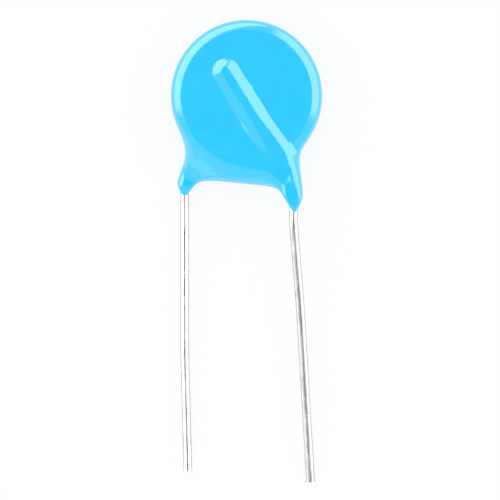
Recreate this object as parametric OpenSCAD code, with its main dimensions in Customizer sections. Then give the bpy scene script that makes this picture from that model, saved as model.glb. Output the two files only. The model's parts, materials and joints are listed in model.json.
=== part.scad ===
// Disc varistor: a zinc oxide disc with a silver electrode and a soldered lead on each face.
// The two leads cross, and one dipped skin covers the disc and runs a little way down both leads.
// The part lies on its back: +Z leaves its front face, and the leads run towards -Y.

/* [Ceramic disc] */
// Diameter of the ceramic disc
ceramic_d = 12.4; // [11.6:0.1:13]
// Thickness of the ceramic disc
ceramic_t = 2; // [1.6:0.1:2.6]
// Bevel round both rims of the ceramic disc
ceramic_bevel = 0.15; // [0.05:0.05:0.3]

/* [Electrodes and solder] */
// Bare ceramic border round each electrode
electrode_margin = 0.6; // [0.3:0.1:1.2]
// Thickness of each silver electrode
electrode_t = 0.03; // [0.01:0.01:0.06]
// Solder film between a lead and its electrode
solder_film = 0.02; // [0.01:0.01:0.05]
// Length of wire that each solder mound covers
solder_len = 6; // [4:0.5:7]
// Width of each solder mound on its electrode
solder_w = 1.9; // [1.6:0.1:2.4]
// Height of each solder mound over its electrode
solder_h = 0.62; // [0.5:0.02:0.7]

/* [Leads] */
// Diameter of the lead wire
wire_d = 0.8; // [0.6:0.05:0.9]
// Distance between the two leads where they leave the skin
lead_pitch = 10; // [9:0.25:11]
// Distance of the rear lead from the disc's centre line
rear_side = 5.7; // [5:0.1:6]
// Slope of both leads across the disc's faces, in degrees
cross_slope = 54; // [50:1:60]
// Length of wire on the front face, up to the lead's turn
front_inner_len = 11.5; // [10:0.1:12]
// Length of wire on the back face, up to the lead's turn
rear_inner_len = 12; // [10:0.2:12.5]
// Inside radius of the turn that each lead makes below the disc
turn_r = 3.8; // [2.5:0.1:4]
// Radius of the front lead's first bend, just below the skin
knee_r = 12; // [8:1:20]
// Radius of the slow bend halfway down each free lead
slow_r = 120; // [80:5:150]
// Distance from the front lead's exit to its first bend
front_knee_drop = 1.1; // [0.5:0.1:2]
// Length of the front lead between its two bends
front_middle_len = 8.4; // [6:0.2:9]
// Outward lean of that middle stretch, in degrees
front_middle_lean = 4.6; // [2:0.2:6]
// Outward lean of the front lead's last stretch, in degrees
front_end_lean = 3.4; // [1:0.2:5]
// Free length of the front lead, from the skin to its tip
front_free_len = 25.2; // [20:0.1:30]
// Distance from the rear lead's exit to its slow bend
rear_knee_drop = 14; // [10:0.5:15]
// Inward lean of the rear lead's last stretch, in degrees
rear_end_lean = 1.5; // [0.5:0.1:3]
// Free length of the rear lead, from the skin to its tip
rear_free_len = 25.2; // [20:0.1:30]

/* [Skin] */
// Skin over each electrode
skin_face = 0.67; // [0.5:0.01:0.8]
// Skin round the disc's rim
skin_rim = 0.8; // [0.6:0.05:1]
// Skin over a lead, where it crosses the disc
skin_ridge = 0.3; // [0.2:0.02:0.4]
// Skin at the sides of each leg
skin_leg = 0.37; // [0.3:0.01:0.5]
// Skin at each leg's end, where it thins out on the wire
skin_tip = 0.1; // [0.08:0.01:0.15]
// Plan width of the rounding round the disc's rim
rim_round = 1.15; // [0.9:0.05:1.3]
// Share of the rim's height that stands as a plain wall before it rounds over
rim_wall = 0.36; // [0.2:0.02:0.5]
// Plan width of the rounding along the skirt below the disc
skirt_round = 1; // [0.8:0.05:1.5]
// Distance inside the disc's rim at which the face starts to fall towards the skirt
skirt_start = 0.8; // [0.5:0.05:1.2]
// Distance outside the disc's rim at which the skirt has its own thickness
skirt_end = 1.9; // [1.5:0.05:2.2]
// Half width of the flat top of each ridge
ridge_top = 0.45; // [0.3:0.05:0.55]
// Plan width of each ridge's soft flank
ridge_flank = 0.85; // [0.6:0.05:1]
// Reach of the skin that fills the corner on each ridge's inner side
shoulder = 1.45; // [1.3:0.05:1.6]
// Length of that fill, from the lead's soldered end
shoulder_len = 5; // [4:0.1:5.5]
// Distance from the disc's lower rim to the rear leg's end
rear_leg_drop = 2.35; // [2:0.05:2.7]
// Distance from the disc's lower rim to the front leg's end
front_leg_drop = 3.35; // [2.8:0.05:3.8]
// Distance from the disc's lower rim to the rear lead's turn
rear_turn_drop = 0.6; // [0.4:0.05:1]
// Distance from the disc's lower rim to the front lead's turn
front_turn_drop = 0.1; // [0:0.05:0.4]
// How far the front lead's turn lies outside its exit
front_turn_out = 0.1; // [0:0.05:0.3]
// Distance from each leg's end up to its widest place
leg_taper = 0.9; // [0.6:0.05:1.2]
// Distance from the disc's lower rim to the web's edge, straight below the disc's centre
web_drop = 1.1; // [0.9:0.05:1.3]
// How much lower the web hangs at the front lead than at the rear lead
web_fall = 1.05; // [0.6:0.05:1.3]
// Half thickness of the web
web_half = 0.95; // [0.8:0.05:1.2]
// Reach of the soft blend where the legs leave the disc
neck_blend = 2.6; // [1.8:0.1:3]
// Reach of the soft blend where the legs leave the web
web_blend = 1.3; // [0.8:0.1:1.6]
// Rounding of the web's two corners
web_corner = 1; // [0.4:0.1:1.4]

/* [Hidden] */
$fn = 96;

// Heights above the disc's middle plane
electrode_top = ceramic_t / 2 + electrode_t;
face_h = electrode_top + skin_face;
wire_r = wire_d / 2;
wire_z = electrode_top + solder_film + wire_r;
ridge_h = wire_z + wire_r + skin_ridge;
ridge_rise = ridge_h - face_h;

// Plan sizes about the disc's centre
skin_r = ceramic_d / 2 + skin_rim;
front_side = lead_pitch - rear_side;
leg_r = wire_r + skin_leg;
tip_r = wire_r + skin_tip;
leg_crest = 0.25;
collar_lip = 0.005;
collar_len = 0.1;
rear_exit_y = -skin_r - rear_leg_drop;
front_exit_y = -skin_r - front_leg_drop;
rear_turn = [-rear_side, -skin_r - rear_turn_drop];
front_turn = [front_side + front_turn_out, -skin_r - front_turn_drop];

// The fill beside a ridge thins out to a share of its rise, fades past its length and ends in a wide spread
fill_start = 4;
fill_share = 0.26;
fill_fade = 3.5;
spread_width = 6;
// The rim's wall rounds over by this power of the distance
wall_power = 14;
// Depths below the disc's centre between which the rim gives way to the skirt
skirt_top = 0.5;
skirt_low = 5.5;
// Widths over which the web's middle plane bends from each leg's plane to the disc's
front_twist = 2.8;
rear_twist = 5;

// Each route runs from the soldered end to the tip: plan points about the disc's centre, then heights.
// The tips come down to the plane that the rear ridge lies on.
tip_z = wire_r - ridge_h;
across = [cos(cross_slope), sin(cross_slope)];
front_knee_y = front_exit_y - front_knee_drop;
front_bend = [front_side + front_middle_len * sin(front_middle_lean),
              front_knee_y - front_middle_len * cos(front_middle_lean)];
front_tip_y = front_exit_y - front_free_len;
front_tip_x = front_bend[0] + (front_bend[1] - front_tip_y) * tan(front_end_lean);
front_drop = (wire_z - tip_z) / (front_knee_y - front_tip_y);
front_route = [
    [front_turn[0] - front_inner_len * across[0], front_turn[1] + front_inner_len * across[1], wire_z],
    [front_turn[0], front_turn[1], wire_z],
    [front_side, front_knee_y, wire_z],
    [front_bend[0], front_bend[1], wire_z - (front_knee_y - front_bend[1]) * front_drop],
    [front_tip_x, front_tip_y, tip_z]
];
rear_knee_y = rear_exit_y - rear_knee_drop;
rear_tip_y = rear_exit_y - rear_free_len;
rear_drop = (-wire_z - tip_z) / (rear_turn[1] - rear_tip_y);
rear_route = [
    [rear_turn[0] + rear_inner_len * across[0], rear_turn[1] + rear_inner_len * across[1], -wire_z],
    [rear_turn[0], rear_turn[1], -wire_z],
    [-rear_side, rear_knee_y, -wire_z - (rear_turn[1] - rear_knee_y) * rear_drop],
    [-rear_side + (rear_knee_y - rear_tip_y) * tan(rear_end_lean), rear_tip_y, tip_z]
];
// Radius of the bend at each inner point of a route
front_bends = [turn_r + wire_r, knee_r, slow_r];
rear_bends = [turn_r + wire_r, slow_r];

// The part stands on Z = 0, with its own box centred over the origin
lift = [0, (front_tip_y - skin_r) / -2 - skin_r, ridge_h];

function unit(v) = v / norm(v);
function plan(p) = [p[0], p[1]];
function soft_step(a, b, x) = let (t = min(1, max(0, (x - a) / (b - a)))) t * t * (3 - 2 * t);
function soft_min(a, b, k) = let (h = max(0, k - abs(a - b)) / k) min(a, b) - h * h * k / 4;
// How far point p lies from the segment a-b, as a fraction along it and a distance
function along(p, a, b) = min(1, max(0, ((p - a) * (b - a)) / ((b - a) * (b - a))));
function to_segment(p, a, b) = norm(p - a - along(p, a, b) * (b - a));
// Distance from p to a bar that tapers from radius ra at a to rb at b
function to_bar(p, a, b, ra, rb) = to_segment(p, a, b) - ra - along(p, a, b) * (rb - ra);

// A lead's line in plan down to the end of its leg. Two points stand for the turn's arc.
function leg_line(route, turn, exit_y) =
    let (corner = plan(route[1]),
         arrive = unit(corner - plan(route[0])),
         leave = unit(plan(route[2]) - corner),
         cut = turn * tan(acos(arrive * leave) / 2) / 2,
         nose = exit_y + tip_r,
         level = function (y) corner + leave * ((y - corner[1]) / leave[1]))
    [plan(route[0]), corner - arrive * cut, corner + leave * cut, level(nose + leg_taper), level(nose)];
front_line = leg_line(front_route, front_bends[0], front_exit_y);
rear_line = leg_line(rear_route, rear_bends[0], rear_exit_y);
web_way = unit([lead_pitch, -web_fall]);

function to_line(p, line) = min([for (i = [1:3]) to_segment(p, line[i - 1], line[i])]);
// A distance from a leg's middle line, evened out so that the skin has no crease along it
function crest(gap) = sqrt(gap * gap + leg_crest * leg_crest) - leg_crest;
function to_leg(p, line) = min(to_line(p, line) - leg_r, to_bar(p, line[3], line[4], leg_r, tip_r));
// Distance of plan point p outside the web: its straight edge, and its sides between the two legs
function to_web(p) =
    let (from_edge = p + [0, skin_r + web_drop],
         edge = web_way[1] * from_edge[0] - web_way[0] * from_edge[1],
         side = abs(p[0] - (front_side - rear_side) / 2) - lead_pitch / 2 + leg_r)
    max(-soft_min(-edge, -side, web_corner), p[1]);
// Distance of plan point p outside the skin's outline
function outside(p) =
    let (body = norm(p) - skin_r,
         web = to_web(p),
         legs = min(to_leg(p, front_line), to_leg(p, rear_line)))
    soft_min(soft_min(body, legs, neck_blend), web, web_blend);

// Share of a ridge's rise at plan point p: steep on the outer side of the lead, drawn out on the inner side
function swell(p, line, side) =
    let (way = unit(line[1] - line[0]),
         down = (p - line[0]) * way,
         off = (p - line[0]) * [-way[1], way[0]] * side,
         gap = to_line(p, line),
         steep = 1 - soft_step(ridge_top, ridge_top + ridge_flank, gap),
         fill = 1 - soft_step(0, shoulder * shoulder, gap * gap),
         spread = 1 - soft_step(0, spread_width, gap),
         thin = 1 - (1 - fill_share) * soft_step(-ridge_top, fill_start, down),
         kept = thin * (1 - soft_step(shoulder_len, shoulder_len + fill_fade, down)),
         on_outer = soft_step(-ridge_top, ridge_top, off + max(0, -down)))
    on_outer * steep + (1 - on_outer) * (kept * fill + (1 - kept) * spread);

// Height of the skin at plan point p: side is 1 on the front, -1 on the back and 0 at the rim
function skin_z(p, side) =
    let (near = p[0] > (front_side - rear_side) / 2 ? front_line : rear_line,
         taper = soft_step(0, 1, along(p, near[3], near[4])),
         on_leg = 1 - soft_step(leg_r, leg_r + web_blend, to_line(p, near)),
         radial = soft_step(skin_r - skirt_start, skin_r + skirt_end, norm(p)),
         below = radial * soft_step(skirt_top, skirt_low, -p[1]),
         low = soft_step(0, skin_r, -p[1]),
         leg_half = (ridge_h - wire_z) * (1 - taper) + tip_r * taper,
         half = face_h * (1 - below) + below * (web_half * (1 - on_leg) + leg_half * on_leg),
         to_front = soft_step(front_side - front_twist, front_side, p[0]),
         to_rear = 1 - soft_step(-rear_side, rear_twist - rear_side, p[0]),
         middle = below * wire_z * (to_front - to_rear),
         round_leg = crest(leg_r * (1 - taper) + tip_r * taper),
         round_body = rim_round * (1 - low) + skirt_round * low,
         reach = round_body * (1 - on_leg * below) + round_leg * on_leg * below,
         out = 1 - min(1, max(0, -outside(p) / reach)),
         wall = rim_wall * (1 - below),
         edge = (1 - wall) * sqrt(1 - out * out) + wall * sqrt(1 - pow(out, wall_power)),
         ridge = side == 0 ? 0 : side > 0 ? swell(p, front_line, 1) : swell(p, rear_line, -1))
    middle + side * (half + ridge_rise * (1 - below) * ridge) * edge;

// The skin is a grid of rays from a pole on the disc, from which every point of the outline is in sight.
// Rays stand closer together at the legs.
pole = [1.2, 3];
function bearing(line) = let (v = line[4] - pole) atan2(v[1], v[0]);
front_ray = bearing(front_line);
rear_ray = bearing(rear_line) + 360;
leg_span = 6;
side_span = 18;
leg_rays = 16;
side_rays = 8;
rim_rays = 46;
web_rays = 12;
ray_spans = [
    [front_ray - leg_span, front_ray + leg_span, leg_rays],
    [front_ray + leg_span, front_ray + leg_span + side_span, side_rays],
    [front_ray + leg_span + side_span, rear_ray - leg_span - side_span, rim_rays],
    [rear_ray - leg_span - side_span, rear_ray - leg_span, side_rays],
    [rear_ray - leg_span, rear_ray + leg_span, leg_rays],
    [rear_ray + leg_span, front_ray + 360 - leg_span, web_rays]
];
rays = [for (s = ray_spans) for (i = [0:s[2] - 1]) let (a = s[0] + (s[1] - s[0]) * i / s[2]) [cos(a), sin(a)]];
core_rings = 8;
core_share = 0.62;
edge_rings = 9;
rings = [
    for (i = [1:core_rings]) core_share * i / core_rings,
    for (i = [1:edge_rings]) core_share + (1 - core_share) * sin(90 * i / edge_rings)
];
// The outline is found along each ray by halving
nearest = skin_r / 2;
farthest = 2.2 * skin_r;
halvings = 18;
function reach_out(ray, inner, outer, steps) =
    let (middle = (inner + outer) / 2)
    steps == 0 ? middle
    : outside(pole + middle * ray) < 0 ? reach_out(ray, middle, outer, steps - 1)
    : reach_out(ray, inner, middle, steps - 1);

module skin() {
    count = len(rays);
    last = len(rings) - 1;
    outline = [for (ray = rays) reach_out(ray, nearest, farthest, halvings)];
    grid = [for (r = rings) [for (i = [0:count - 1]) pole + rays[i] * outline[i] * r]];
    rim = [for (i = [0:count - 1]) let (p = grid[last][i]) [p[0], p[1], skin_z(p, 0)]];
    front = [for (k = [0:last - 1]) for (p = grid[k]) [p[0], p[1], skin_z(p, 1)]];
    back = [for (k = [0:last - 1]) for (p = grid[k]) [p[0], p[1], skin_z(p, -1)]];
    back_start = count * last;
    rim_start = 2 * back_start;
    top_pole = rim_start + count;
    function front_at(k, i) = k == last ? rim_start + i % count : k * count + i % count;
    function back_at(k, i) = k == last ? rim_start + i % count : back_start + k * count + i % count;
    polyhedron(
        points = [
            each front, each back, each rim,
            [pole[0], pole[1], skin_z(pole, 1)], [pole[0], pole[1], skin_z(pole, -1)]
        ],
        faces = [
            for (i = [0:count - 1]) each [
                [top_pole, front_at(0, i + 1), front_at(0, i)],
                [top_pole + 1, back_at(0, i), back_at(0, i + 1)]
            ],
            for (k = [1:last]) for (i = [0:count - 1]) each [
                [front_at(k - 1, i), front_at(k - 1, i + 1), front_at(k, i)],
                [front_at(k - 1, i + 1), front_at(k, i + 1), front_at(k, i)],
                [back_at(k - 1, i), back_at(k, i), back_at(k - 1, i + 1)],
                [back_at(k - 1, i + 1), back_at(k, i), back_at(k, i + 1)]
            ]
        ]
    );
}

// Turns a child that lies along +Z, with +Y as travel at its start, into the frame given by three axes
module in_axes(x, y, z, at) {
    multmatrix([
        [x[0], y[0], z[0], at[0]],
        [x[1], y[1], z[1], at[1]],
        [x[2], y[2], z[2], at[2]]
    ])
        children();
}

// A round wire along a route, with a bend of its own radius at each inner point.
// A collar a few microns proud of the wire stands where a bend meets a straight, so that they fuse.
module wire(route, bends) {
    last = len(route) - 1;
    ways = [for (i = [1:last]) unit(route[i] - route[i - 1])];
    turns = [for (i = [1:last - 1]) acos(ways[i - 1] * ways[i])];
    cuts = [0, for (i = [0:last - 2]) bends[i] * tan(turns[i] / 2), 0];
    for (i = [0:last - 1]) {
        way = ways[i];
        side = unit(cross(way, [0, 0, 1]));
        length = norm(route[i + 1] - route[i]) - cuts[i] - cuts[i + 1];
        collars = [if (i > 0) 0, if (i < last - 1) length];
        in_axes(side, cross(way, side), way, route[i] + way * cuts[i]) {
            cylinder(h = length, r = wire_r);
            for (z = collars)
                translate([0, 0, z])
                    cylinder(h = collar_len, r = wire_r + collar_lip, center = true);
        }
    }
    for (i = [1:last - 1]) {
        axis = unit(cross(ways[i - 1], ways[i]));
        outward = cross(ways[i - 1], axis);
        start = route[i] - ways[i - 1] * cuts[i];
        in_axes(outward, ways[i - 1], axis, start - outward * bends[i - 1])
            rotate_extrude(angle = turns[i - 1])
                translate([bends[i - 1], 0])
                    circle(r = wire_r);
    }
}

// A mound of solder over the wire, with round ends, flat on its electrode
module mound(route, side) {
    way = unit(plan(route[1]) - plan(route[0]));
    depth = (solder_w * solder_w / 4 - solder_h * solder_h) / (2 * solder_h);
    radius = depth + solder_h;
    start = plan(route[0]) + way * (solder_w / 2 - wire_r);
    intersection() {
        translate([start[0], start[1], side * (electrode_top - depth)])
            rotate([0, 0, atan2(way[1], way[0])]) {
                rotate([0, 90, 0])
                    cylinder(h = solder_len - solder_w, r = radius);
                for (x = [0, solder_len - solder_w])
                    translate([x, 0, 0])
                        sphere(r = radius, $fn = 48);
            }
        translate([-skin_r, -skin_r, side > 0 ? electrode_top : -electrode_top - 2 * solder_h])
            cube([2 * skin_r, 2 * skin_r, 2 * solder_h]);
    }
}

module ceramic_body() {
    rotate_extrude()
        polygon([
            [0, -ceramic_t / 2],
            [ceramic_d / 2 - ceramic_bevel, -ceramic_t / 2],
            [ceramic_d / 2, -ceramic_t / 2 + ceramic_bevel],
            [ceramic_d / 2, ceramic_t / 2 - ceramic_bevel],
            [ceramic_d / 2 - ceramic_bevel, ceramic_t / 2],
            [0, ceramic_t / 2]
        ]);
}

module electrode_layer(side) {
    translate([0, 0, side > 0 ? ceramic_t / 2 : -electrode_top])
        cylinder(h = electrode_t, d = ceramic_d - 2 * electrode_margin);
}

// Everything that the skin was dipped over
module core() {
    ceramic_body();
    electrode_layer(1);
    electrode_layer(-1);
    mound(front_route, 1);
    mound(rear_route, -1);
    wire(front_route, front_bends);
    wire(rear_route, rear_bends);
}

module coating() {
    color("deepskyblue")
        translate(lift)
            difference() {
                skin();
                union()
                    core();
            }
}

module ceramic_disc() {
    color("dimgray")
        translate(lift)
            ceramic_body();
}

module front_electrode() {
    color("silver")
        translate(lift)
            electrode_layer(1);
}

module rear_electrode() {
    color("silver")
        translate(lift)
            electrode_layer(-1);
}

module front_solder() {
    color("lightgray")
        translate(lift)
            difference() {
                mound(front_route, 1);
                wire(front_route, front_bends);
            }
}

module rear_solder() {
    color("lightgray")
        translate(lift)
            difference() {
                mound(rear_route, -1);
                wire(rear_route, rear_bends);
            }
}

module front_lead() {
    color("gainsboro")
        translate(lift)
            wire(front_route, front_bends);
}

module rear_lead() {
    color("gainsboro")
        translate(lift)
            wire(rear_route, rear_bends);
}

coating();
ceramic_disc();
front_electrode();
rear_electrode();
front_solder();
rear_solder();
front_lead();
rear_lead();
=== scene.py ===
"""Looks of a disc varistor: glossy dipped skin, tinned leads, and the finishes of what is inside.

The file is laid out as an add-on and run as a script. The part's sizes are in millimetres about the
disc's centre, seen from the front: +X to the right, +Y away from the leads, +Z out of the front
face. LIFT and MM bring them into the frame, whose unit is the metre.
"""
import json
import math

import bpy
import numpy as np
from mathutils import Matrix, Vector

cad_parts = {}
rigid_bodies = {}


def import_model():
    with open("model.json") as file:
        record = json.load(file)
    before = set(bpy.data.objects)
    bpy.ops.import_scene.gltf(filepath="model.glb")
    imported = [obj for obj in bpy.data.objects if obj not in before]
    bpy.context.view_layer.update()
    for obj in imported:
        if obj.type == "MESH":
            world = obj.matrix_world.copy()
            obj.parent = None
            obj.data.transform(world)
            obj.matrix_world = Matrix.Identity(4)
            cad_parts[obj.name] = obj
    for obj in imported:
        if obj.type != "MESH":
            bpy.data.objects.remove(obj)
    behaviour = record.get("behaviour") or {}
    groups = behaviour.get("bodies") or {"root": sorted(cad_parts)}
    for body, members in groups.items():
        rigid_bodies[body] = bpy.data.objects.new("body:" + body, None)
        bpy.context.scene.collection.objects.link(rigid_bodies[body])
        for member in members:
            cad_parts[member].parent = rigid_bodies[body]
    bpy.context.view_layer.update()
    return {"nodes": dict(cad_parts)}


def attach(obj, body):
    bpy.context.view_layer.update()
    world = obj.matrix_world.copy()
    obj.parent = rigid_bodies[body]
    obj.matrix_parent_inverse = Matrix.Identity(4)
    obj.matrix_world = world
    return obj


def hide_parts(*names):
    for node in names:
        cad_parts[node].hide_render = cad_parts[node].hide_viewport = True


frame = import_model()

bl_info = {
    "name": "Disc varistor looks",
    "version": (1, 0, 0),
    "blender": (4, 5, 0),
    "location": "3D View > Sidebar > Varistor",
    "description": "Dipped skin, tinned leads, inner pieces and studio of a disc varistor",
    "category": "Object",
}

MM = 0.001
BODY = "root"

# -------------------------------------------------------------- sizes of the part, in millimetres

# The stack inside
CERAMIC_D = 12.4
CERAMIC_T = 2.0
ELECTRODE_T = 0.03
SOLDER_FILM = 0.02  # between an electrode and its wire

# The leads: each one crosses its face, turns at the rim and comes down to the floor
WIRE_R = 0.4
LEAD_PITCH = 10.0
REAR_SIDE = 5.7  # from the disc's middle out to the rear lead
CROSS_SLOPE = 54.0  # of the soldered lengths, in degrees
FRONT_INNER_LEN = 11.5
REAR_INNER_LEN = 12.0
REAR_TURN_DROP = 0.6  # from the rim down to the corner of the turn
FRONT_TURN_DROP = 0.1
FRONT_TURN_OUT = 0.1  # sideways past the front lead's line
TURN_R = 3.8  # inside of the bend at the turn
KNEE_R = 12.0
SLOW_R = 120.0
FRONT_KNEE_DROP = 1.1  # from the end of the leg
FRONT_MIDDLE_LEN = 8.4
FRONT_MIDDLE_LEAN = 4.6  # outwards, in degrees
FRONT_END_LEAN = 3.4
REAR_KNEE_DROP = 14.0
REAR_END_LEAN = 1.5
FREE_LEN = 25.2  # from the end of the leg to the tip

# Thickness of the skin
SKIN_FACE = 0.67
SKIN_RIM = 0.8
SKIN_RIDGE = 0.3  # over the crossing wires
SKIN_LEG = 0.37
SKIN_TIP = 0.06

# The rim: a round edge with a short upright wall in it
RIM_ROUND = 1.15
RIM_WALL = 0.36  # share of the wall in the profile
WALL_POWER = 14

# The skirt, where the faces come down to the web and the legs
SKIRT_ROUND = 1.0
SKIRT_START = 0.8  # inside the rim
SKIRT_END = 1.9  # outside the rim
SKIRT_TURN = 1.5  # left of the middle: from here on, the skirt starts later to the right
SKIRT_LEAN = 0.2  # how much later, for each millimetre
REAR_LATE = 0.45  # how much further it runs at the rear leg
SKIRT_TOP = 0.5  # below the middle: no skirt yet
SKIRT_LOW = 5.5  # below the middle: full skirt

# The ridge over each crossing wire
RIDGE_TOP = 0.45  # half of the level top
RIDGE_FLANK = 0.76  # run of the outer flank
INNER_FLANK = 0.72  # run of the inner flank at the upper end
INNER_WIDEN = 0.03  # and how much wider it gets, for each millimetre down
FLANK_FADE = 3.6  # down the ridge: the inner flank starts to fade into the spread
FLANK_END = 9.8  # down the ridge: it is gone
SPREAD = 6.0  # run of the low, wide fall towards the web
FRONT_BOW = 0.42  # how far the front ridge's upper end is off the straight line

# The legs, which the skin makes down both leads
REAR_LEG_DROP = 2.35  # from the rim down to the end of the leg
FRONT_LEG_DROP = 3.35
FRONT_TAPER = 1.8
REAR_TAPER = 1.25
FRONT_TONGUE = 0.55  # how much further the front leg's point runs down its lead
FRONT_ASIDE = 0.1  # and how far aside
ARC_SHARE = 0.33  # share of the turn's straights that its arc cuts away
TIP_POINT = 0.12  # radius of the point
TAPER_RUN = 1.15  # over 1: the taper is still narrowing at the point
INNER_EDGE = 0.32  # depth of the legs' rounding on their inner sides, as a share of the outer's
FRONT_BULB = 0.12  # how much fatter than its lead's skin the front leg is
REAR_BULB = -0.02
LEG_SLIM = 0.08  # how much thinner the necks are
LEG_CREST = 0.25  # half of the zone that is evened out along a leg's middle
BLUNT = 2.2  # over 1: the leg's end is blunter than a half circle

# The web between the legs
WEB_DROP = 1.1  # from the rim down to its lower edge
WEB_FALL = 1.05  # of that edge, from the rear leg to the front one
WEB_HALF = 1.15  # half of its thickness
TWIST_REAR = 4.0  # run in which it leaves the rear lead's height
TWIST_FRONT = 2.8
FLAT_REACH = 0.85  # how far past a lead's axis it keeps that lead's height

# Blends of the outline
NECK_BLEND = 2.05
WEB_BLEND = 1.6
WEB_CORNER = 1.0

# Rays run from the pole to the outline. From a falling line across the legs' widest places on, they
# run straight down, so that each one crosses the outline once.
POLE = np.array((1.8, 3.0))
FOLD_Y = -8.62
FOLD_FALL = 0.1
FARTHEST = 2.2  # end of the search along a ray, in skin radii
HALVINGS = 26
LEAST_FALL = 1e-6

ELECTRODE_TOP = CERAMIC_T / 2 + ELECTRODE_T
FACE_H = ELECTRODE_TOP + SKIN_FACE
WIRE_Z = ELECTRODE_TOP + SOLDER_FILM + WIRE_R
RIDGE_H = WIRE_Z + WIRE_R + SKIN_RIDGE
RIDGE_RISE = RIDGE_H - FACE_H
SKIN_R = CERAMIC_D / 2 + SKIN_RIM
FRONT_SIDE = LEAD_PITCH - REAR_SIDE
LEADS_MIDDLE = (FRONT_SIDE - REAR_SIDE) / 2
LEG_R = WIRE_R + SKIN_LEG
TIP_R = WIRE_R + SKIN_TIP
REAR_EXIT_Y = -SKIN_R - REAR_LEG_DROP
FRONT_EXIT_Y = -SKIN_R - FRONT_LEG_DROP
TIP_Z = WIRE_R - RIDGE_H


# -------------------------------------------------------------- lines of the leads

def tangent(degrees):
    return math.tan(math.radians(degrees))


def front_route():
    """Corner points of the front lead about the disc's centre, from its soldered end to its tip."""
    turn = (FRONT_SIDE + FRONT_TURN_OUT, -SKIN_R - FRONT_TURN_DROP)
    slope = math.radians(CROSS_SLOPE)
    start = (
        turn[0] - FRONT_INNER_LEN * math.cos(slope),
        turn[1] + FRONT_INNER_LEN * math.sin(slope))
    lean = math.radians(FRONT_MIDDLE_LEAN)
    knee_y = FRONT_EXIT_Y - FRONT_KNEE_DROP
    bend = (
        FRONT_SIDE + FRONT_MIDDLE_LEN * math.sin(lean),
        knee_y - FRONT_MIDDLE_LEN * math.cos(lean))
    tip_y = FRONT_EXIT_Y - FREE_LEN
    drop = (WIRE_Z - TIP_Z) / (knee_y - tip_y)
    return [
        Vector((*start, WIRE_Z)),
        Vector((*turn, WIRE_Z)),
        Vector((FRONT_SIDE, knee_y, WIRE_Z)),
        Vector((*bend, WIRE_Z - (knee_y - bend[1]) * drop)),
        Vector((bend[0] + (bend[1] - tip_y) * tangent(FRONT_END_LEAN), tip_y, TIP_Z)),
    ]


def rear_route():
    """Corner points of the rear lead about the disc's centre, from its soldered end to its tip."""
    turn = (-REAR_SIDE, -SKIN_R - REAR_TURN_DROP)
    slope = math.radians(CROSS_SLOPE)
    start = (
        turn[0] + REAR_INNER_LEN * math.cos(slope),
        turn[1] + REAR_INNER_LEN * math.sin(slope))
    knee_y = REAR_EXIT_Y - REAR_KNEE_DROP
    tip_y = REAR_EXIT_Y - FREE_LEN
    drop = (-WIRE_Z - TIP_Z) / (turn[1] - tip_y)
    return [
        Vector((*start, -WIRE_Z)),
        Vector((*turn, -WIRE_Z)),
        Vector((-REAR_SIDE, knee_y, -WIRE_Z - (turn[1] - knee_y) * drop)),
        Vector((-REAR_SIDE + (knee_y - tip_y) * tangent(REAR_END_LEAN), tip_y, TIP_Z)),
    ]


FRONT_ROUTE = front_route()
REAR_ROUTE = rear_route()
FRONT_BENDS = (TURN_R + WIRE_R, KNEE_R, SLOW_R)
REAR_BENDS = (TURN_R + WIRE_R, SLOW_R)
# Place of the disc's centre in the frame
LIFT = Vector((0, (FRONT_ROUTE[-1].y - SKIN_R) / -2 - SKIN_R, RIDGE_H))


# -------------------------------------------------------------- the skin's form in plan

def soft_step(a, b, x):
    """0 up to a, 1 from b on, and a smooth step between them."""
    t = np.clip((x - a) / (b - a), 0, 1)
    return t * t * (3 - 2 * t)


def soft_min(a, b, k):
    """The lesser of a and b, blended where they are less than k apart."""
    h = np.maximum(0, k - np.abs(a - b)) / k
    return np.minimum(a, b) - h * h * k / 4


def along(p, a, b):
    """How far each point of p lies along the segment a-b, from 0 to 1."""
    return np.clip(((p - a) @ (b - a)) / ((b - a) @ (b - a)), 0, 1)


def to_segment(p, a, b):
    """Distance of each point of p from the segment a-b."""
    return np.linalg.norm(p - a - along(p, a, b)[:, None] * (b - a), axis=1)


def crest(gap, radius):
    """Distance outside a bar of that radius, evened out along the bar's middle."""
    return np.sqrt(gap ** 2 + LEG_CREST ** 2) - np.sqrt(radius ** 2 + LEG_CREST ** 2)


def to_bar(p, a, b, ra, rb):
    """Distance outside a bar whose radius runs softly from ra at a to rb at b, its blunt end."""
    share = soft_step(0, TAPER_RUN, along(p, a, b))
    way = (b - a) / np.linalg.norm(b - a)
    over = np.maximum(0, (p - b) @ way)
    gap = np.hypot(to_segment(p, a, b), math.sqrt(BLUNT ** 2 - 1) * over)
    return crest(gap, ra + (rb - ra) * share)


def leg_line(route, turn_r, end_y, taper, aside, bow):
    """A lead's line in plan down to the end of its leg; two points stand for the turn's arc."""
    first, corner, after = (np.array(point[:2]) for point in route[:3])
    arrive = (corner - first) / np.linalg.norm(corner - first)
    leave = (after - corner) / np.linalg.norm(after - corner)
    cut = turn_r * math.tan(math.acos(arrive @ leave) / 2) * ARC_SHARE

    def level(y):
        return corner + leave * ((y - corner[1]) / leave[1])

    start = first + np.array((bow, 0))
    middle = (first + corner) / 2
    end = level(end_y) + np.array((aside, 0))
    return [start, middle, corner - arrive * cut, corner + leave * cut, level(end_y + taper), end]


FRONT_LINE = leg_line(
    FRONT_ROUTE, FRONT_BENDS[0], FRONT_EXIT_Y - FRONT_TONGUE, FRONT_TAPER, FRONT_ASIDE, FRONT_BOW)
REAR_LINE = leg_line(REAR_ROUTE, REAR_BENDS[0], REAR_EXIT_Y, REAR_TAPER, aside=0, bow=0)


def to_line(p, line):
    """Distance of each point of p from a lead's line, down to where its leg starts to taper."""
    pieces = zip(line[:-2], line[1:-1])
    return np.min([to_segment(p, a, b) for a, b in pieces], axis=0)


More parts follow.
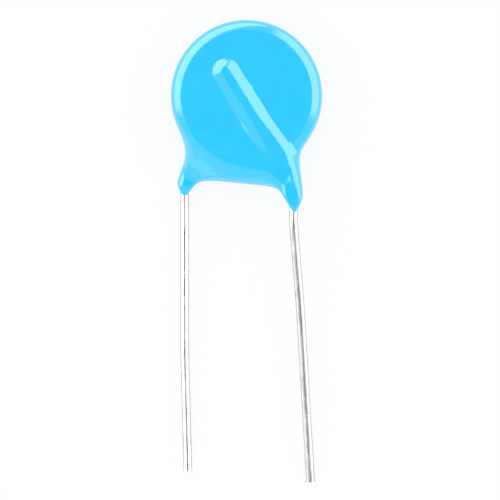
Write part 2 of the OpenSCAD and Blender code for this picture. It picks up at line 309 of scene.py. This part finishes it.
def to_leg(p, line, bulb):
    """Distance outside a leg: the skin along its lead, a neck that widens, and the pointed end."""
    neck = LEG_R - LEG_SLIM
    wide = LEG_R + bulb
    return np.min([
        crest(to_line(p, line), neck),
        to_bar(p, line[-3], line[-2], neck, wide),
        to_bar(p, line[-2], line[-1], wide, TIP_POINT)], axis=0)


def to_web(p):
    """Distance outside the web between the legs; it ends above at the disc's middle."""
    way = np.array((LEAD_PITCH, -WEB_FALL)) / math.hypot(LEAD_PITCH, WEB_FALL)
    edge = way[1] * p[:, 0] - way[0] * (p[:, 1] + SKIN_R + WEB_DROP)
    side = np.abs(p[:, 0] - LEADS_MIDDLE) - LEAD_PITCH / 2 + LEG_R
    return np.maximum(-soft_min(-edge, -side, WEB_CORNER), p[:, 1])


def outside(p):
    """Distance of each plan point outside the skin's outline; less than 0 inside it."""
    body = np.linalg.norm(p, axis=1) - SKIN_R
    legs = np.minimum(to_leg(p, FRONT_LINE, FRONT_BULB), to_leg(p, REAR_LINE, REAR_BULB))
    return soft_min(soft_min(body, legs, NECK_BLEND), to_web(p), WEB_BLEND)


def out_along(rays, distance):
    """Points at distances from the pole, along rays that fold straight down at the legs."""
    descent = np.minimum(rays[:, 1] + FOLD_FALL * rays[:, 0], -LEAST_FALL)
    fold = (FOLD_Y - FOLD_FALL * POLE[0] - POLE[1]) / descent
    return POLE + np.column_stack((rays[:, 0] * np.minimum(distance, fold), rays[:, 1] * distance))


def reach_out(rays):
    """Distance from the pole to the outline along each ray."""
    inner = np.full(len(rays), SKIN_R / 2)
    outer = np.full(len(rays), FARTHEST * SKIN_R)
    for _ in range(HALVINGS):
        middle = (inner + outer) / 2
        is_inside = outside(out_along(rays, middle)) < 0
        inner = np.where(is_inside, middle, inner)
        outer = np.where(is_inside, outer, middle)
    return (inner + outer) / 2


# -------------------------------------------------------------- the skin's height over the plan

def swell(p, line, side):
    """Share of the ridge's rise at each plan point: two flanks above, a wide fall below."""
    way = (line[1] - line[0]) / np.linalg.norm(line[1] - line[0])
    outer = side * np.array((-way[1], way[0]))
    down = (p - line[0]) @ way
    off = (p - line[0]) @ outer
    gap = to_line(p, line)
    steep = 1 - soft_step(RIDGE_TOP, RIDGE_TOP + RIDGE_FLANK, gap)
    flank = INNER_FLANK + INNER_WIDEN * np.maximum(0, down)
    inner = 1 - soft_step(RIDGE_TOP, RIDGE_TOP + flank, gap)
    spread = 1 - soft_step(0, SPREAD, gap)
    kept = 1 - soft_step(FLANK_FADE, FLANK_END, down)
    on_outer = soft_step(-RIDGE_TOP, RIDGE_TOP, off + np.maximum(0, -down))
    return on_outer * steep + (1 - on_outer) * (kept * inner + (1 - kept) * spread)


def skirt(p):
    """Share of the skirt at each plan point: 0 on the faces, 1 below them."""
    late = SKIRT_LEAN * np.maximum(0, p[:, 0] + SKIRT_TURN)
    near_rear = 1 - soft_step(-REAR_SIDE, TWIST_REAR - REAR_SIDE, p[:, 0])
    last = SKIN_R + SKIRT_END + REAR_LATE * near_rear
    share = soft_step(SKIN_R - SKIRT_START, last, np.linalg.norm(p, axis=1) - late)
    return share * soft_step(SKIRT_TOP, SKIRT_LOW, -p[:, 1])


def twist(p):
    """Height of the web's middle: the front lead's on its side, the rear lead's on the other."""
    front_start = FRONT_SIDE - FLAT_REACH
    rear_start = FLAT_REACH - REAR_SIDE
    to_front = soft_step(front_start - TWIST_FRONT, front_start, p[:, 0])
    to_rear = 1 - soft_step(rear_start, rear_start + TWIST_REAR, p[:, 0])
    return WIRE_Z * (to_front - to_rear)


def edge_height(p, below, on_leg, taper):
    """Share of the full height at each plan point: 1 inside, rounded down to 0 at the outline."""
    leg_depth = np.sqrt((LEG_R * (1 - taper) + TIP_POINT * taper) ** 2 + LEG_CREST ** 2) - LEG_CREST
    past_axis = np.abs(p[:, 0] - LEADS_MIDDLE) - LEAD_PITCH / 2
    outer_side = soft_step(-LEG_CREST, LEG_CREST / 2, past_axis)
    leg_depth = leg_depth * (INNER_EDGE + (1 - INNER_EDGE) * outer_side)
    low = soft_step(0, SKIN_R, -p[:, 1])
    depth = RIM_ROUND * (1 - low) + SKIRT_ROUND * low
    reach = depth * (1 - on_leg * below) + leg_depth * on_leg * below
    out = 1 - np.clip(-outside(p) / reach, 0, 1)
    wall = RIM_WALL * (1 - below)
    return (1 - wall) * np.sqrt(1 - out ** 2) + wall * np.sqrt(1 - out ** WALL_POWER)


def skin_z(p, side):
    """Height of the skin at each plan point; side is 1 in front, -1 behind, 0 on the outline."""
    on_front = p[:, 0] > LEADS_MIDDLE
    front_end, rear_end = along(p, *FRONT_LINE[-2:]), along(p, *REAR_LINE[-2:])
    taper = soft_step(0, 1, np.where(on_front, front_end, rear_end))
    leg_gap = np.where(on_front, to_line(p, FRONT_LINE), to_line(p, REAR_LINE))
    on_leg = 1 - soft_step(LEG_R, LEG_R + WEB_BLEND, leg_gap)
    below = skirt(p)
    leg_half = (RIDGE_H - WIRE_Z) * (1 - taper) + TIP_R * taper
    half = FACE_H * (1 - below) + below * (WEB_HALF * (1 - on_leg) + leg_half * on_leg)
    ridge = np.where(side > 0, swell(p, FRONT_LINE, 1), swell(p, REAR_LINE, -1))
    full = half + RIDGE_RISE * (1 - below) * ridge
    return below * twist(p) + side * full * edge_height(p, below, on_leg, taper)


# -------------------------------------------------------------- helpers for meshes and nodes

def deselect_all():
    for thing in bpy.context.view_layer.objects:
        thing.select_set(False)


def make_active(thing):
    deselect_all()
    thing.select_set(True)
    bpy.context.view_layer.objects.active = thing


def added(name):
    """Names the primitive that was just added and brings its place into its mesh."""
    thing = bpy.context.object
    thing.name = name
    thing.data.name = name
    bpy.ops.object.transform_apply(location=True, rotation=True, scale=True)
    return thing


def apply_modifier(thing, kind, **settings):
    make_active(thing)
    modifier = thing.modifiers.new(kind.title(), kind)
    for key, value in settings.items():
        setattr(modifier, key, value)
    bpy.ops.object.modifier_apply(modifier=modifier.name)


def put_on(thing, material):
    """Gives the whole piece one material, in the slots that it has or in a new one."""
    if thing.material_slots:
        for slot in thing.material_slots:
            slot.material = material
    else:
        thing.data.materials.append(material)


def shade_of(colour, part):
    """The colour with each channel times part, which is one number or one for each channel."""
    parts = part if isinstance(part, tuple) else (part,) * 3
    return [min(1, value * times) for value, times in zip(colour, parts)]


class Nodes:
    """Adds nodes to a tree. Each input is given as a value, or as the output that feeds it."""

    def __init__(self, tree):
        self.tree = tree

    def feed(self, socket, source):
        if isinstance(source, bpy.types.NodeSocket):
            self.tree.links.new(source, socket)
        elif socket.type == "RGBA":
            socket.default_value = (*source[:3], 1)
        else:
            socket.default_value = source

    def node(self, kind, inputs, **settings):
        made = self.tree.nodes.new(kind)
        for key, value in settings.items():
            setattr(made, key, value)
        for key, source in inputs.items():
            self.feed(made.inputs[key], source)
        return made

    def calculate(self, operation, *numbers):
        made = self.node("ShaderNodeMath", dict(enumerate(numbers)), operation=operation)
        return made.outputs["Value"]

    def dot(self, first, second):
        made = self.node("ShaderNodeVectorMath", {0: first, 1: second}, operation="DOT_PRODUCT")
        return made.outputs["Value"]

    def step(self, source, low, high, to_low=0.0, to_high=1.0):
        """A smooth step from to_low, where the source is at low, to to_high."""
        inputs = {
            "Value": source, "From Min": low, "From Max": high, "To Min": to_low, "To Max": to_high}
        made = self.node("ShaderNodeMapRange", inputs, interpolation_type="SMOOTHSTEP")
        return made.outputs["Result"]

    def mix(self, share, first, second):
        """One shader up to a share of 0, the other one from 1 on."""
        made = self.node("ShaderNodeMixShader", {"Fac": share, 1: first, 2: second})
        return made.outputs["Shader"]


class Finish(Nodes):
    """Builds one procedural material out of nodes that read Object coordinates in millimetres."""

    def __init__(self, name, turn=(0, 0, 0)):
        self.material = bpy.data.materials.new(name)
        self.material.use_nodes = True
        super().__init__(self.material.node_tree)
        self.surface = self.tree.nodes["Principled BSDF"]
        place = self.node("ShaderNodeTexCoord", {}).outputs["Object"]
        inputs = {"Vector": place, "Rotation": turn, "Scale": (MM, MM, MM)}
        made = self.node("ShaderNodeMapping", inputs, vector_type="TEXTURE")
        self.place = made.outputs["Vector"]

    def stretched(self, scale):
        """The coordinates in millimetres, stretched by a scale for each axis."""
        made = self.node("ShaderNodeMapping", {"Vector": self.place, "Scale": scale})
        return made.outputs["Vector"]

    def noise(self, scale, detail, place=None):
        inputs = {"Vector": place or self.place, "Scale": scale, "Detail": detail}
        return self.node("ShaderNodeTexNoise", inputs).outputs["Fac"]

    def to_cell(self, scale):
        """Distance to the nearest of many points strewn through the piece."""
        made = self.node("ShaderNodeTexVoronoi", {"Vector": self.place, "Scale": scale})
        return made.outputs["Distance"]

    def blend(self, amount, first, second):
        made = self.node("ShaderNodeMix", {"Factor": amount}, data_type="RGBA")
        for key, source in (("A", first), ("B", second)):
            self.feed(next(s for s in made.inputs if s.name == key and s.type == "RGBA"), source)
        return next(s for s in made.outputs if s.type == "RGBA")

    def bump(self, height, strength, distance):
        inputs = {"Height": height, "Strength": strength, "Distance": distance}
        return self.node("ShaderNodeBump", inputs).outputs["Normal"]

    def set(self, **sockets):
        """Sets or feeds inputs of the surface; an underscore in a name stands for a space."""
        for key, source in sockets.items():
            self.feed(self.surface.inputs[key.replace("_", " ")], source)


# -------------------------------------------------------------- settings

class SkinSettings(bpy.types.PropertyGroup):
    colour: bpy.props.FloatVectorProperty(
        name="Colour", description="Colour of the dipped skin", subtype="COLOR", size=3,
        min=0, max=1, default=(0.022, 0.590, 0.985))
    roughness: bpy.props.FloatProperty(
        name="Roughness", description="Roughness of the skin's gloss", default=0.12,
        min=0.02, max=0.6)
    sag: bpy.props.FloatProperty(
        name="Sag", description="Depth of the uneven places left by dipping", default=0.012 * MM,
        min=0, max=0.05 * MM, subtype="DISTANCE", unit="LENGTH")


class LeadSettings(bpy.types.PropertyGroup):
    colour: bpy.props.FloatVectorProperty(
        name="Colour", description="Colour of the tinned wire", subtype="COLOR", size=3,
        min=0, max=1, default=(0.75, 0.745, 0.73))
    edge: bpy.props.FloatVectorProperty(
        name="Edge", description="Tint of the tin at a grazing look", subtype="COLOR", size=3,
        min=0, max=1, default=(0.5, 0.48, 0.45))
    roughness: bpy.props.FloatProperty(
        name="Roughness", description="Roughness of the tin", default=0.3, min=0.02, max=0.8)
    wire_radius: bpy.props.FloatProperty(
        name="Wire radius", description="Radius of the lead wire", default=WIRE_R * MM,
        min=0.3 * MM, max=0.42 * MM, subtype="DISTANCE", unit="LENGTH")


class CoreSettings(bpy.types.PropertyGroup):
    ceramic: bpy.props.FloatVectorProperty(
        name="Ceramic", description="Colour of the sintered zinc oxide", subtype="COLOR", size=3,
        min=0, max=1, default=(0.060, 0.064, 0.060))
    silver: bpy.props.FloatVectorProperty(
        name="Silver", description="Colour of the fired silver", subtype="COLOR", size=3,
        min=0, max=1, default=(0.74, 0.72, 0.68))
    solder: bpy.props.FloatVectorProperty(
        name="Solder", description="Colour of the solder", subtype="COLOR", size=3,
        min=0, max=1, default=(0.56, 0.57, 0.58))


class StudioSettings(bpy.types.PropertyGroup):
    field: bpy.props.FloatProperty(
        name="Field", description="Width that the camera sees", default=46 * MM,
        min=20 * MM, max=0.2, subtype="DISTANCE", unit="LENGTH")
    distance: bpy.props.FloatProperty(
        name="Distance", description="Distance of the camera", default=0.7, min=0.2, max=2,
        subtype="DISTANCE", unit="LENGTH")
    floor_size: bpy.props.FloatProperty(
        name="Floor size", description="Side of the floor", default=1.2, min=0.2, max=5,
        subtype="DISTANCE", unit="LENGTH")
    level: bpy.props.FloatProperty(
        name="Level", description="Strength of the even light from all sides", default=1.17,
        min=0, max=2)


# -------------------------------------------------------------- the dipped skin

class VARISTOR_OT_skin(bpy.types.Operator):
    """Makes the dipped skin: a ball drawn out over the disc, the crossed leads and both legs"""
    bl_idname = "varistor.skin"
    bl_label = "Dipped skin"

    SEGMENTS = 340
    RINGS = 260
    LEG_DENSITY = 5.0  # how many times closer the rays stand at the legs, less 1
    LEG_WIDTH = 9.0  # degrees over which they do
    BEARING_STEPS = 3600
    EQUATOR = 1e-4  # height on the ball below which a point belongs to the rim
    CORE_PART = 0.51  # share of the rings on the inner part of the faces
    CORE_SHARE = 0.62  # which reaches out to this share of each ray
    EASE = 3  # rounds in which neighbouring rays' reaches are evened out
    RELAX = 0.5  # of the way to the middle of its neighbours, in each round of smoothing
    RELAX_ALL = 3
    RELAX_LEGS = 9
    LEGS_START = 6.2  # below the disc's middle
    DIP_SIZE = 2.6  # of the uneven places

    def execute(self, context):
        settings = context.scene.varistor_skin
        deselect_all()
        bpy.ops.mesh.primitive_uv_sphere_add(
            segments=self.SEGMENTS, ring_count=self.RINGS, radius=1)
        skin = added("dipped_skin")
        self.drape(skin.data)
        self.relax(skin)
        apply_modifier(
            skin, "DISPLACE", texture=self.uneven_dip(), texture_coords="LOCAL",
            strength=settings.sag, mid_level=1.0)
        make_active(skin)
        bpy.ops.object.shade_smooth()
        put_on(skin, self.finish(settings))
        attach(skin, BODY)
        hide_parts("coating")
        return {"FINISHED"}

    def bearings(self, turns):
        """Ray angles, in radians, for shares of a full turn; they stand closer at the legs."""
        ends = [line[-2] - POLE for line in (FRONT_LINE, REAR_LINE)]
        legs = [math.degrees(math.atan2(y, x)) for x, y in ends]
        angles = np.linspace(-180, 180, self.BEARING_STEPS + 1)
        gaps = [(angles - leg + 180) % 360 - 180 for leg in legs]
        near = sum(np.exp(-(gap / self.LEG_WIDTH) ** 2) for gap in gaps)
        density = 1 + self.LEG_DENSITY * near
        share = np.concatenate(([0], np.cumsum((density[1:] + density[:-1]) / 2)))
        return np.radians(np.interp(turns, share / share[-1], angles))

    def drape(self, mesh):
        """Moves the ball's points on to the skin: poles to the faces, the equator to the rim."""
        count = len(mesh.vertices)
        flat = np.empty(count * 3)
        mesh.vertices.foreach_get("co", flat)
        ball = flat.reshape(count, 3)
        turns = (np.arctan2(ball[:, 1], ball[:, 0]) + math.pi) / (2 * math.pi)
        ray = np.rint(turns * self.SEGMENTS).astype(int) % self.SEGMENTS
        angles = self.bearings(np.arange(self.SEGMENTS) / self.SEGMENTS)
        rays = np.stack((np.cos(angles), np.sin(angles)), axis=1)
        reach = reach_out(rays)
        for _ in range(self.EASE):
            reach = (np.roll(reach, 1) + 2 * reach + np.roll(reach, -1)) / 4
        side = np.where(np.abs(ball[:, 2]) < self.EQUATOR, 0, np.sign(ball[:, 2]))
        down = 1 - np.abs(np.arcsin(np.clip(ball[:, 2], -1, 1))) / (math.pi / 2)
        to_edge = np.clip((down - self.CORE_PART) / (1 - self.CORE_PART), 0, 1)
        share = np.where(
            down < self.CORE_PART, down * self.CORE_SHARE / self.CORE_PART,
            self.CORE_SHARE + (1 - self.CORE_SHARE) * np.sin(math.pi / 2 * to_edge))
        plan = out_along(rays[ray], reach[ray] * share)
        placed = np.column_stack((plan, skin_z(plan, side))) + np.array(LIFT)
        mesh.vertices.foreach_set("co", (placed * MM).ravel())
        mesh.update()

    def relax(self, skin):
        """Evens the skin out as surface tension would, most of all on the legs."""
        make_active(skin)
        bpy.ops.object.mode_set(mode="EDIT")
        bpy.ops.mesh.select_mode(type="VERT")
        bpy.ops.mesh.select_all(action="SELECT")
        bpy.ops.mesh.vertices_smooth(factor=self.RELAX, repeat=self.RELAX_ALL)
        bpy.ops.object.mode_set(mode="OBJECT")
        start = (LIFT.y - self.LEGS_START) * MM
        for vertex in skin.data.vertices:
            vertex.select = vertex.co.y < start
        bpy.ops.object.mode_set(mode="EDIT")
        bpy.ops.mesh.vertices_smooth(factor=self.RELAX, repeat=self.RELAX_LEGS)
        bpy.ops.object.mode_set(mode="OBJECT")

    def uneven_dip(self):
        texture = bpy.data.textures.new("uneven_dip", "CLOUDS")
        texture.noise_scale = self.DIP_SIZE * MM
        texture.noise_depth = 1
        return texture

    def finish(self, settings):
        """Even pigment with a faint mottle, a few specks with a pin hole each, and a fine peel."""
        look = Finish("dipped_epoxy")
        cloud = look.step(look.noise(scale=0.45, detail=3), low=0.35, high=0.65)
        mottle = look.blend(cloud, settings.colour, shade_of(settings.colour, 0.96))
        speck = look.step(look.to_cell(scale=1.1), low=0.025, high=0.06, to_low=1.0, to_high=0.0)
        tinted = look.blend(look.calculate("MULTIPLY", speck, 0.25), mottle, (0.02, 0.42, 0.80))
        peel = look.noise(scale=1.6, detail=1)
        height = look.calculate("ADD", peel, look.calculate("MULTIPLY", speck, -0.6))
        look.set(
            Base_Color=tinted,
            Roughness=look.step(
                look.noise(scale=0.8, detail=2), low=0.3, high=0.7,
                to_low=settings.roughness * 0.8, to_high=settings.roughness * 1.25),
            Normal=look.bump(height, strength=0.25, distance=0.01 * MM),
            IOR=1.6,
            Specular_IOR_Level=1.0,
        )
        return look.material


# -------------------------------------------------------------- the tinned leads

class VARISTOR_OT_leads(bpy.types.Operator):
    """Makes the two leads: each one is drawn out from its cut end and spun round its bends"""
    bl_idname = "varistor.leads"
    bl_label = "Tinned leads"

    SIDES = 48
    STEP = 0.5
    TRIM = 0.001  # keeps the facets of the cut end inside the exact wire's reach
    CUT_INSET = 0.05
    MERGE = 0.001
    SHARP = 40  # degrees between faces that stay a sharp edge

    def execute(self, context):
        settings = context.scene.varistor_leads
        for name, node, route, bends in (
            ("tinned_lead_front", "front_lead", FRONT_ROUTE, FRONT_BENDS),
            ("tinned_lead_rear", "rear_lead", REAR_ROUTE, REAR_BENDS),
        ):
            points = [(point + LIFT) * MM for point in route]
            points[-1] -= (points[-1] - points[-2]).normalized() * self.TRIM * MM
            lead = self.draw_out(name, points, [bend * MM for bend in bends], settings.wire_radius)
            put_on(lead, self.finish(settings, points[-1] - points[-2], name))
            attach(lead, BODY)
            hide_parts(node)
        return {"FINISHED"}

    def draw_out(self, name, points, bends, radius):
        """Extrudes a cut end along the straights and spins it round the bends between them."""
        ways = [(b - a).normalized() for a, b in zip(points, points[1:])]
        turns = [a.angle(b) for a, b in zip(ways, ways[1:])]
        cuts = [0, *(bend * math.tan(turn / 2) for bend, turn in zip(bends, turns)), 0]
        deselect_all()
        bpy.ops.mesh.primitive_circle_add(
            vertices=self.SIDES, radius=radius, fill_type="NGON", location=points[0],
            rotation=ways[0].to_track_quat("Z", "Y").to_euler())
        lead = added(name)
        bpy.ops.object.mode_set(mode="EDIT")
        bpy.ops.mesh.select_mode(type="FACE")
        bpy.ops.mesh.select_all(action="SELECT")
        for i, way in enumerate(ways):
            length = (points[i + 1] - points[i]).length - cuts[i] - cuts[i + 1]
            steps = max(1, round(length / (self.STEP * MM)))
            move = {"value": way * (length / steps)}
            for _ in range(steps):
                bpy.ops.mesh.extrude_region_move(TRANSFORM_OT_translate=move)
            if i < len(turns):
                axis = way.cross(ways[i + 1]).normalized()
                centre = points[i + 1] - way * cuts[i + 1] + axis.cross(way) * bends[i]
                steps = max(2, round(bends[i] * turns[i] / (self.STEP * MM)))
                bpy.ops.mesh.spin(steps=steps, angle=-turns[i], center=centre, axis=axis)
        bpy.ops.mesh.inset(thickness=self.CUT_INSET * MM)
        bpy.ops.mesh.select_all(action="SELECT")
        bpy.ops.mesh.remove_doubles(threshold=self.MERGE * MM)
        bpy.ops.mesh.normals_make_consistent(inside=False)
        bpy.ops.object.mode_set(mode="OBJECT")
        bpy.ops.object.shade_smooth_by_angle(angle=math.radians(self.SHARP))
        return lead

    def finish(self, settings, way, name):
        """Tin with fine drawing marks along the wire and a few duller places."""
        look = Finish(f"{name}_tin", turn=way.to_track_quat("Y", "Z").to_euler())
        drawn = look.noise(scale=3, detail=3, place=look.stretched((3.0, 0.12, 3.0)))
        dull = look.step(look.noise(scale=0.9, detail=4), low=0.45, high=0.75)
        smear = look.noise(scale=2, detail=3, place=look.stretched((1.0, 0.3, 1.0)))
        look.set(
            Base_Color=look.blend(
                dull, settings.colour, shade_of(settings.colour, (0.86, 0.84, 0.80))),
            Metallic=1.0,
            Specular_Tint=settings.edge,
            Roughness=look.step(
                smear, low=0.3, high=0.7,
                to_low=settings.roughness * 0.7, to_high=settings.roughness * 1.4),
            Normal=look.bump(drawn, strength=0.35, distance=0.01 * MM),
        )
        return look.material


# -------------------------------------------------------------- the pieces inside

class VARISTOR_OT_core(bpy.types.Operator):
    """Gives the ceramic disc, the silver electrodes and the solder mounds their finishes"""
    bl_idname = "varistor.core"
    bl_label = "Inner pieces"

    def execute(self, context):
        settings = context.scene.varistor_core
        finishes = {
            self.ceramic(settings): ("ceramic_disc",),
            self.silver(settings): ("front_electrode", "rear_electrode"),
            self.solder(settings): ("front_solder", "rear_solder"),
        }
        for material, nodes in finishes.items():
            for node in nodes:
                put_on(frame["nodes"][node], material)
        return {"FINISHED"}

    def ceramic(self, settings):
        """Dark, dry and finely grained."""
        look = Finish("sintered_ceramic")
        grain = look.noise(scale=14, detail=3)
        look.set(
            Base_Color=look.blend(
                look.step(grain, low=0.35, high=0.7),
                settings.ceramic, shade_of(settings.ceramic, 1.7)),
            Roughness=look.step(grain, low=0.3, high=0.7, to_low=0.62, to_high=0.8),
            Normal=look.bump(grain, strength=0.4, distance=0.02 * MM),
        )
        return look.material

    def silver(self, settings):
        """Matt metal with the grain of the screen that it was printed through."""
        look = Finish("fired_silver")
        cloud = look.step(look.noise(scale=0.7, detail=3), low=0.35, high=0.7)
        look.set(
            Base_Color=look.blend(cloud, settings.silver, shade_of(settings.silver, 0.88)),
            Metallic=1.0,
            Roughness=look.step(
                look.noise(scale=9, detail=2), low=0.3, high=0.7, to_low=0.42, to_high=0.55),
            Normal=look.bump(look.to_cell(scale=5), strength=0.3, distance=0.01 * MM),
        )
        return look.material

    def solder(self, settings):
        """Dull grey metal with a frosted skin."""
        look = Finish("dull_solder")
        frost = look.noise(scale=6, detail=4)
        look.set(
            Base_Color=look.blend(
                look.step(frost, low=0.3, high=0.7),
                settings.solder, shade_of(settings.solder, 0.8)),
            Metallic=1.0,
            Roughness=look.step(frost, low=0.3, high=0.7, to_low=0.24, to_high=0.42),
            Normal=look.bump(frost, strength=0.3, distance=0.02 * MM),
        )
        return look.material


# -------------------------------------------------------------- floor, light and camera

class VARISTOR_OT_stage(bpy.types.Operator):
    """Makes the pale floor, the soft light and the camera that looks straight down"""
    bl_idname = "varistor.stage"
    bl_label = "Studio"

    # What the gloss sees. Each wall has its first and last bearing, the bearing that it faces and
    # the height of its top above the horizon, all in degrees, and its level.
    WALLS = {
        "left_wall": (70, 192, 160, 68, 2.9),
        "right_wall": (-14, 65, 10, 73, 2.5),
        "near_wall": (210, 330, 270, 60, 0.64),
    }
    WALL_EDGE = 7.0  # softness of a wall's sides, in degrees
    WALL_TOP_EDGE = 0.22  # softness of its top, as a height over it
    WHITE_LEVEL = 0.5  # where no wall stands
    # The dark round the camera, in degrees from straight up
    CAP_INNER = 13.0
    CAP_OUTER = 22.0
    CAP_LEVEL = 0.08

    FLOOR_GAP = 0.02  # keeps the floor clear of the part's lowest faces
    PAPER = (0.88, 0.88, 0.88)
    GLOW_SHARE = 0.86  # of plain white in the floor as the camera and the gloss see it
    VIEW_CENTRE = Vector((0.3238, 0.0886, 2.15))
    SENSOR_WIDTH = 36.0
    CLIP_START = 0.01  # in metres
    CLIP_END = 10.0

    def execute(self, context):
        settings = context.scene.varistor_studio
        self.floor(settings)
        self.world(context.scene, settings)
        self.camera(context.scene, settings)
        context.scene.view_settings.view_transform = "Standard"
        return {"FINISHED"}

    def floor(self, settings):
        """White paper that takes the shadow and looks almost plain white."""
        deselect_all()
        bpy.ops.mesh.primitive_plane_add(
            size=settings.floor_size, location=(0, 0, -self.FLOOR_GAP * MM))
        floor = added("studio_floor")
        material = bpy.data.materials.new("white_paper")
        material.use_nodes = True
        material.node_tree.nodes.clear()
        look = Nodes(material.node_tree)
        rays = look.node("ShaderNodeLightPath", {}).outputs
        seen = look.calculate(
            "MAXIMUM", look.calculate("MAXIMUM", rays["Is Camera Ray"], rays["Is Glossy Ray"]),
            rays["Is Transmission Ray"])
        paper = look.node("ShaderNodeBsdfDiffuse", {"Color": self.PAPER}).outputs["BSDF"]
        glow = look.node("ShaderNodeEmission", {"Strength": 1.0}).outputs["Emission"]
        share = look.calculate("MULTIPLY", seen, self.GLOW_SHARE)
        look.node("ShaderNodeOutputMaterial", {"Surface": look.mix(share, paper, glow)})
        put_on(floor, material)

    def world(self, scene, settings):
        """Even white for all rays but glossy ones, which see the walls and the dark overhead."""
        world = bpy.data.worlds.new("studio")
        scene.world = world
        world.use_nodes = True
        world.node_tree.nodes.clear()
        sky = Nodes(world.node_tree)

        def light(strength):
            inputs = {"Color": (1, 1, 1), "Strength": strength}
            return sky.node("ShaderNodeBackground", inputs).outputs["Background"]

        direction = sky.node("ShaderNodeTexCoord", {}).outputs["Generated"]
        cap = sky.step(
            sky.dot(direction, (0, 0, 1)),
            low=math.cos(math.radians(self.CAP_INNER)), high=math.cos(math.radians(self.CAP_OUTER)),
            to_low=self.CAP_LEVEL, to_high=1.0)
        gloss = sky.calculate("MULTIPLY", cap, self.walls(sky, direction))
        rays = sky.node("ShaderNodeLightPath", {}).outputs
        cast = sky.mix(rays["Is Glossy Ray"], light(settings.level), light(gloss))
        shown = sky.mix(rays["Is Camera Ray"], cast, light(1.0))
        sky.node("ShaderNodeOutputWorld", {"Surface": shown})

    def walls(self, sky, direction):
        """Level in each direction: the plain white's, and each wall's own where it stands."""
        flat = sky.node(
            "ShaderNodeVectorMath", {0: direction, 1: (1, 1, 0)}, operation="MULTIPLY")
        bearing = sky.node(
            "ShaderNodeVectorMath", {0: flat.outputs["Vector"]}, operation="NORMALIZE")
        total = self.WHITE_LEVEL
        for first, last, faced, top, level in self.WALLS.values():
            half = (last - first) / 2
            middle = math.radians(first + half)
            facing = sky.dot(bearing.outputs["Vector"], (math.cos(middle), math.sin(middle), 0))
            width = sky.step(
                facing, low=math.cos(math.radians(half + self.WALL_EDGE)),
                high=math.cos(math.radians(half - self.WALL_EDGE)))
            faced = math.radians(faced)
            slope = tangent(top)
            under = sky.dot(direction, (slope * math.cos(faced), slope * math.sin(faced), -1))
            height = sky.step(under, low=-self.WALL_TOP_EDGE, high=self.WALL_TOP_EDGE)
            lit = sky.calculate("MULTIPLY", width, height)
            total = sky.calculate("MULTIPLY_ADD", lit, level - self.WHITE_LEVEL, total)
        return total

    def camera(self, scene, settings):
        data = bpy.data.cameras.new("camera")
        data.sensor_width = self.SENSOR_WIDTH
        data.lens = data.sensor_width * settings.distance / settings.field
        data.clip_start = self.CLIP_START
        data.clip_end = self.CLIP_END
        camera = bpy.data.objects.new("camera", data)
        scene.collection.objects.link(camera)
        camera.location = self.VIEW_CENTRE * MM + Vector((0, 0, settings.distance))
        scene.camera = camera


# -------------------------------------------------------------- panel and registration

class VARISTOR_PT_panel(bpy.types.Panel):
    """Lists the pieces and their settings"""
    bl_label = "Varistor"
    bl_idname = "VARISTOR_PT_panel"
    bl_space_type = "VIEW_3D"
    bl_region_type = "UI"
    bl_category = "Varistor"

    def draw(self, context):
        scene = context.scene
        for group, operator in (
            (scene.varistor_skin, VARISTOR_OT_skin),
            (scene.varistor_leads, VARISTOR_OT_leads),
            (scene.varistor_core, VARISTOR_OT_core),
            (scene.varistor_studio, VARISTOR_OT_stage),
        ):
            box = self.layout.box()
            for key in group.__annotations__:
                box.prop(group, key)
            box.operator(operator.bl_idname)


GROUPS = {
    "varistor_skin": SkinSettings,
    "varistor_leads": LeadSettings,
    "varistor_core": CoreSettings,
    "varistor_studio": StudioSettings,
}
CLASSES = (
    *GROUPS.values(),
    VARISTOR_OT_skin, VARISTOR_OT_leads, VARISTOR_OT_core, VARISTOR_OT_stage, VARISTOR_PT_panel,
)


def register():
    for thing in CLASSES:
        bpy.utils.register_class(thing)
    for name, group in GROUPS.items():
        setattr(bpy.types.Scene, name, bpy.props.PointerProperty(type=group))


def unregister():
    for name in GROUPS:
        delattr(bpy.types.Scene, name)
    for thing in reversed(CLASSES):
        bpy.utils.unregister_class(thing)


def main():
    register()
    bpy.ops.varistor.skin()
    bpy.ops.varistor.leads()
    bpy.ops.varistor.core()
    bpy.ops.varistor.stage()
    bpy.context.view_layer.update()


if __name__ == "__main__":
    main()
